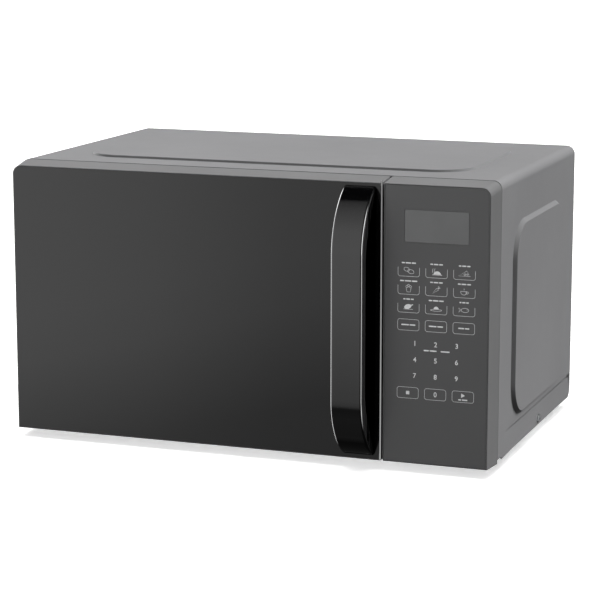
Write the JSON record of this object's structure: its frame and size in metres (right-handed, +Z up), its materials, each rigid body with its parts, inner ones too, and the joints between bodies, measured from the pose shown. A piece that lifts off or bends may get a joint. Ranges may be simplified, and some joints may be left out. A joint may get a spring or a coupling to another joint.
{
  "type": "microwave oven",
  "caption": "Box-shaped countertop microwave oven: side-hinged dark glass door with a tall arched handle, keypad panel on the right, turntable inside a lit cavity.",
  "frame": {"origin": "on the surface that the feet stand on, under the middle of the oven's box", "axes": "+X towards the keypad side, +Y towards the rear, +Z up; the door faces -Y and its hinge is on the -X side"},
  "size_m": [0.458, 0.331, 0.2563],
  "materials": {
    "cover_paint": "satin dark grey powder coat",
    "panel_plastic": "satin near-black moulding",
    "handle_gloss": "high-gloss black",
    "door_glass": "black-tinted toughened glass",
    "tray_glass": "clear toughened glass",
    "cavity_enamel": "light grey semi-gloss enamel",
    "zinc_steel": "zinc-plated steel",
    "screen_steel": "black painted perforated steel",
    "lamination": "varnished laminated steel",
    "copper_winding": "enamelled copper wire",
    "aluminium": "bare aluminium",
    "mica": "pressed mica sheet",
    "circuit_board": "solder-masked laminate",
    "white_plastic": "moulded natural white",
    "grey_plastic": "moulded dark grey",
    "black_plastic": "moulded black",
    "foot_rubber": "matt black",
    "spring_steel": "bright spring wire",
    "display": "smoked display window"
  },
  "bodies": {
    "oven": {"outer_cover": "cover_paint", "base_plate": "zinc_steel", "back_panel": "cover_paint", "front_plate": "cavity_enamel", "cavity_box": "cavity_enamel", "waveguide": "zinc_steel", "waveguide_cover": "mica", "magnetron": "zinc_steel", "magnetron_fins": "aluminium", "transformer_core": "lamination", "transformer_primary": "copper_winding", "transformer_secondary": "copper_winding", "capacitor": "aluminium", "capacitor_clamp": "zinc_steel", "fan_motor": "lamination", "fan_shroud": "grey_plastic", "cavity_lamp": "white_plastic", "mains_filter_board": "circuit_board", "control_board": "circuit_board", "display_module": "display", "control_panel_frame": "panel_plastic", "key_overlay": "panel_plastic", "display_window": "display", "interlock_bracket": "grey_plastic", "upper_door_switch": "black_plastic", "lower_door_switch": "black_plastic", "monitor_switch": "black_plastic", "turntable_motor": "zinc_steel", "upper_hinge": "zinc_steel", "lower_hinge": "zinc_steel", "lead_grommet": "foot_rubber", "side_screw_left": "zinc_steel", "side_screw_right": "zinc_steel", "foot_front_left": "foot_rubber", "foot_front_right": "foot_rubber", "foot_rear_left": "foot_rubber", "foot_rear_right": "foot_rubber", "rear_screw_low_left": "zinc_steel", "rear_screw_low_right": "zinc_steel", "rear_screw_high_left": "zinc_steel", "rear_screw_high_right": "zinc_steel"},
    "door": {"door_frame": "panel_plastic", "door_glass": "door_glass", "door_choke": "zinc_steel", "door_screen": "screen_steel", "door_inner_cover": "grey_plastic", "door_inner_film": "tray_glass", "handle": "handle_gloss"},
    "latch": {"latch": "white_plastic", "latch_spring": "spring_steel"},
    "turntable_drive": {"turntable_coupler": "white_plastic"},
    "turntable_tray": {"glass_tray": "tray_glass"},
    "roller_carrier": {"roller_ring": "white_plastic"},
    "roller_a": {"roller_1": "white_plastic"},
    "roller_b": {"roller_2": "white_plastic"},
    "roller_c": {"roller_3": "white_plastic"},
    "fan": {"fan_blade": "white_plastic"},
    "upper_button": {"upper_door_switch_button": "white_plastic"},
    "lower_button": {"lower_door_switch_button": "white_plastic"},
    "monitor_button": {"monitor_switch_button": "white_plastic"}
  },
  "joints": [
    {"name": "door_hinge", "type": "hinge", "parent": "oven", "child": "door", "pos_m": [-0.2185, -0.1195, 0.13], "axis": [0, 0, -1], "range_deg": [0, 105]},
    {"name": "latch_lift", "type": "slide", "parent": "door", "child": "latch", "axis": [0, 0, 1], "range_m": [0, 0.004], "stiffness_N_per_m": 150, "springref_m": -0.008, "deforming": ["latch_spring"]},
    {"name": "turntable_spin", "type": "hinge", "parent": "oven", "child": "turntable_drive", "pos_m": [-0.052, 0.0225, 0.031], "axis": [0, 0, 1], "continuous": true},
    {"name": "tray_lift", "type": "slide", "parent": "turntable_drive", "child": "turntable_tray", "axis": [0, 0, 1], "range_m": [0, 0.03]},
    {"name": "roller_carrier_spin", "type": "hinge", "parent": "oven", "child": "roller_carrier", "pos_m": [-0.052, 0.0225, 0.031], "axis": [0, 0, 1], "continuous": true},
    {"name": "roller_a_spin", "type": "hinge", "parent": "roller_carrier", "child": "roller_a", "pos_m": [-0.052, 0.1105, 0.0383], "axis": [0, 1, 0], "continuous": true},
    {"name": "roller_b_spin", "type": "hinge", "parent": "roller_carrier", "child": "roller_b", "pos_m": [-0.12821, -0.0215, 0.0383], "axis": [-0.866, -0.5, 0], "continuous": true},
    {"name": "roller_c_spin", "type": "hinge", "parent": "roller_carrier", "child": "roller_c", "pos_m": [0.02421, -0.0215, 0.0383], "axis": [0.866, -0.5, 0], "continuous": true},
    {"name": "fan_spin", "type": "hinge", "parent": "oven", "child": "fan", "pos_m": [0.162, 0.147, 0.15], "axis": [0, 1, 0], "continuous": true},
    {"name": "upper_button_press", "type": "slide", "parent": "oven", "child": "upper_button", "axis": [0, 1, 0], "range_m": [0, 0.0012], "stiffness_N_per_m": 250},
    {"name": "lower_button_press", "type": "slide", "parent": "oven", "child": "lower_button", "axis": [0, 1, 0], "range_m": [0, 0.0012], "stiffness_N_per_m": 250},
    {"name": "monitor_button_press", "type": "slide", "parent": "oven", "child": "monitor_button", "axis": [0, 1, 0], "range_m": [0, 0.0012], "stiffness_N_per_m": 250}
  ],
  "couplings": [
    {"joint": "roller_carrier_spin", "follows": "turntable_spin", "ratio": 0.5},
    {"joint": "roller_a_spin", "follows": "turntable_spin", "ratio": -6.2857},
    {"joint": "roller_b_spin", "follows": "turntable_spin", "ratio": -6.2857},
    {"joint": "roller_c_spin", "follows": "turntable_spin", "ratio": -6.2857}
  ]
}
